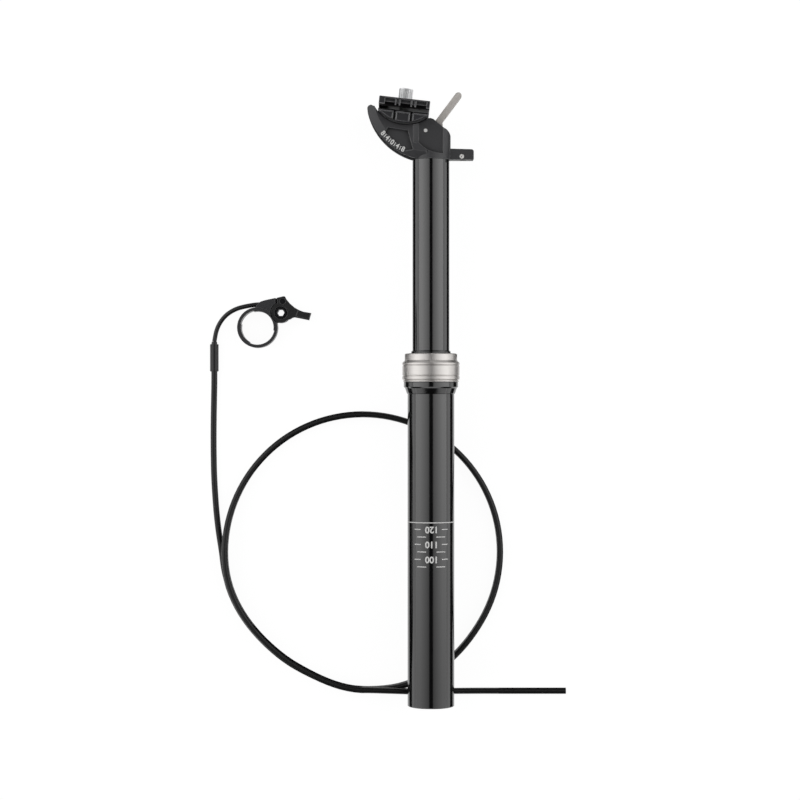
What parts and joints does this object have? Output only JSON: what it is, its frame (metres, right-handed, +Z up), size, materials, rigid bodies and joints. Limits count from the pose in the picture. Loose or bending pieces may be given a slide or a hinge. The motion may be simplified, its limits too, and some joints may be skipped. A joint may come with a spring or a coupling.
{
  "type": "dropper seatpost",
  "caption": "Bicycle seatpost that drops at the pull of a lever: outer tube, collar, sliding stanchion, head with rail clamp, bar remote and looped cable housing.",
  "frame": {"origin": "centre of the outer tube's lower end, on the tube's axis", "axes": "+Y along the post to the saddle, +X to the actuator lever's side, +Z up from the surface that the post lies on"},
  "size_m": [0.2442, 0.4171, 0.0508],
  "materials": {
    "black_tube": "gloss black anodised",
    "collar_silver": "turned, lightly brushed",
    "seal_rubber": "matt",
    "bushing_plastic": "turned",
    "key_brass": "ground",
    "head_black": "bead-blasted black",
    "steel": "ground",
    "lever_steel": "satin, warm grey",
    "plain_aluminium": "turned",
    "clamp_black": "satin black",
    "bolt_bright": "bright zinc",
    "remote_black": "satin black",
    "noodle_black": "black coated",
    "housing_black": "smooth black sheath"
  },
  "bodies": {
    "tube": {"outer_tube": "black_tube", "collar": "collar_silver", "wiper_seal": "seal_rubber", "foam_ring": "seal_rubber", "upper_bushing": "bushing_plastic", "bottom_plug": "plain_aluminium", "plug_circlip": "steel", "rod_bolt": "steel", "piston_rod": "steel", "piston": "plain_aluminium", "piston_seal": "seal_rubber", "piston_nut": "steel", "bottom_bumper": "seal_rubber", "remote_body": "remote_black", "pivot_bolt": "remote_black", "pivot_washer": "bushing_plastic", "noodle": "noodle_black", "housing_cup": "noodle_black", "cable_lead": "housing_black", "cable_loops": "housing_black", "cable_tail": "housing_black"},
    "stanchion": {"stanchion": "black_tube", "head": "head_black", "lower_bushing": "bushing_plastic", "guide_keys": "key_brass", "cartridge_tube": "steel", "inner_tube": "plain_aluminium", "valve_body": "plain_aluminium", "rod_guide": "plain_aluminium", "lever_pin": "steel", "stop_screw": "steel"},
    "lever": {"actuator_lever": "lever_steel"},
    "valve": {"push_rod": "steel", "valve_pin": "steel"},
    "clamp": {"lower_cradle": "clamp_black", "upper_clamp": "clamp_black", "clamp_bolt": "bolt_bright", "bolt_washer": "steel", "curved_nut": "steel"},
    "paddle": {"paddle": "remote_black", "cable_barrel": "steel"}
  },
  "joints": [
    {"name": "stanchion_drop", "type": "slide", "parent": "tube", "child": "stanchion", "axis": [0, -1, 0], "range_m": [0, 0.125]},
    {"name": "lever_pull", "type": "hinge", "parent": "stanchion", "child": "lever", "pos_m": [-0.0037, 0.3874, 0], "axis": [0, 0, -1], "range_deg": [0, 20], "stiffness_Nm_per_rad": 0.3, "springref_deg": -20.05},
    {"name": "valve_push", "type": "slide", "parent": "stanchion", "child": "valve", "axis": [0, -1, 0], "range_m": [0, 0.0013]},
    {"name": "clamp_tilt", "type": "hinge", "parent": "stanchion", "child": "clamp", "pos_m": [-0.0167, 0.4151, 0], "axis": [0, 0, 1], "range_deg": [-10, 10]},
    {"name": "paddle_press", "type": "hinge", "parent": "tube", "child": "paddle", "pos_m": [-0.1023, 0.2662, -0.018], "axis": [0, 0, -1], "range_deg": [0, 25], "stiffness_Nm_per_rad": 0.05, "springref_deg": -17.19}
  ],
  "couplings": [
    {"joint": "valve_push", "follows": "lever_pull", "m_per_rad": 0.0037}
  ]
}
